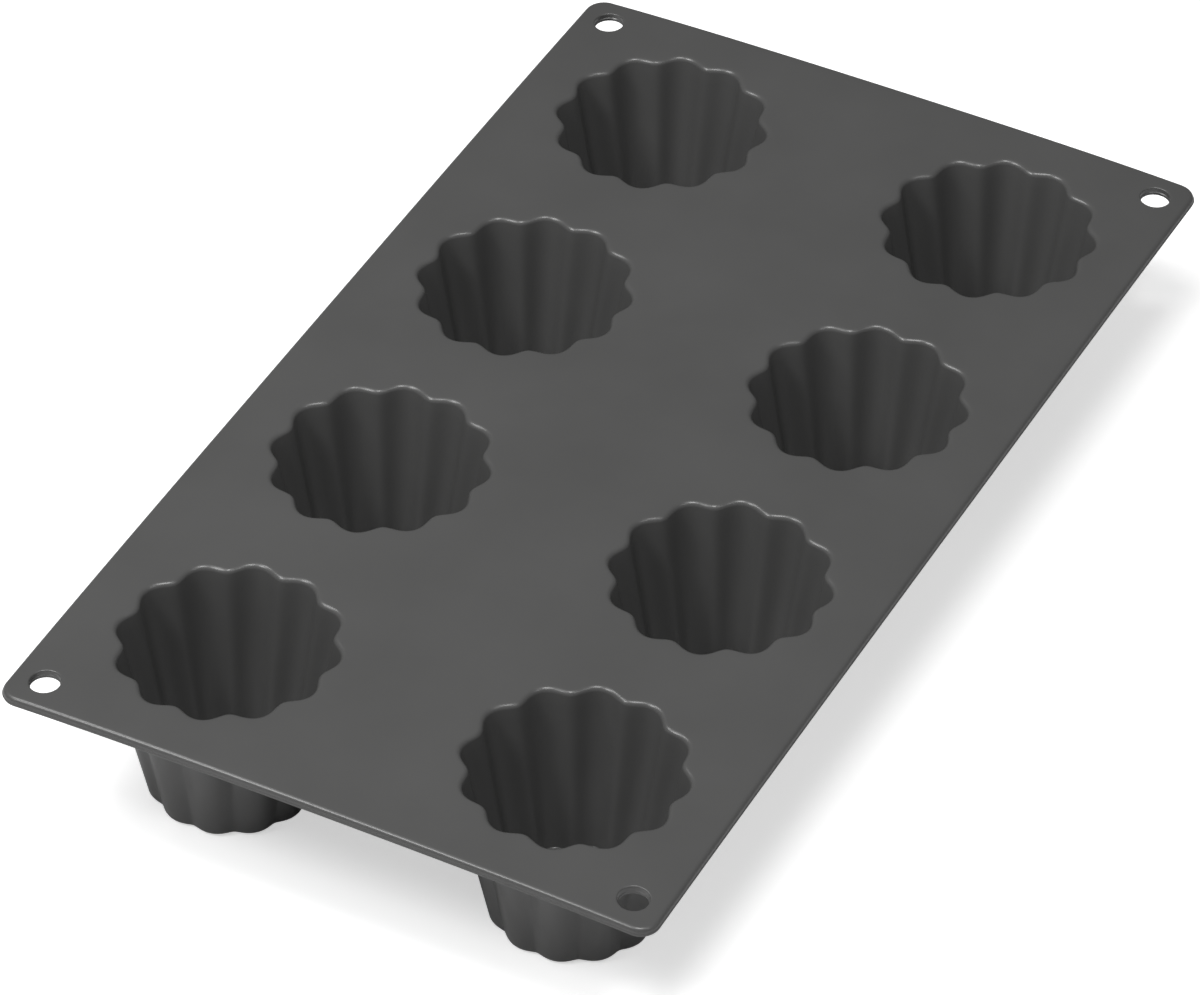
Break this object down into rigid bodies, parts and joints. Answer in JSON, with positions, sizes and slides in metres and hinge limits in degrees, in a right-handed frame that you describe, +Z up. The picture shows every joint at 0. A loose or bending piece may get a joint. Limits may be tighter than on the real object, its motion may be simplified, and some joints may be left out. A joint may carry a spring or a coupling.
{
  "type": "silicone canele mould",
  "caption": "Flexible silicone baking mould: a thin rounded sheet with corner holes that carries rows of deep fluted cups tapering to flat feet.",
  "frame": {"origin": "centre of the mould in plan, on the plane that the cups' feet stand on", "axes": "+Z up through the mouths of the cups, +Y along the long side of the sheet, +X along its short side"},
  "size_m": [0.1712, 0.3004, 0.0445],
  "materials": {
    "silicone": "satin moulded silicone rubber"
  },
  "bodies": {
    "root": {"sheet": "silicone", "cup_front_left": "silicone", "cup_front_right": "silicone", "cup_midfront_left": "silicone", "cup_midfront_right": "silicone", "cup_midback_left": "silicone", "cup_midback_right": "silicone", "cup_back_left": "silicone", "cup_back_right": "silicone"}
  },
  "joints": []
}
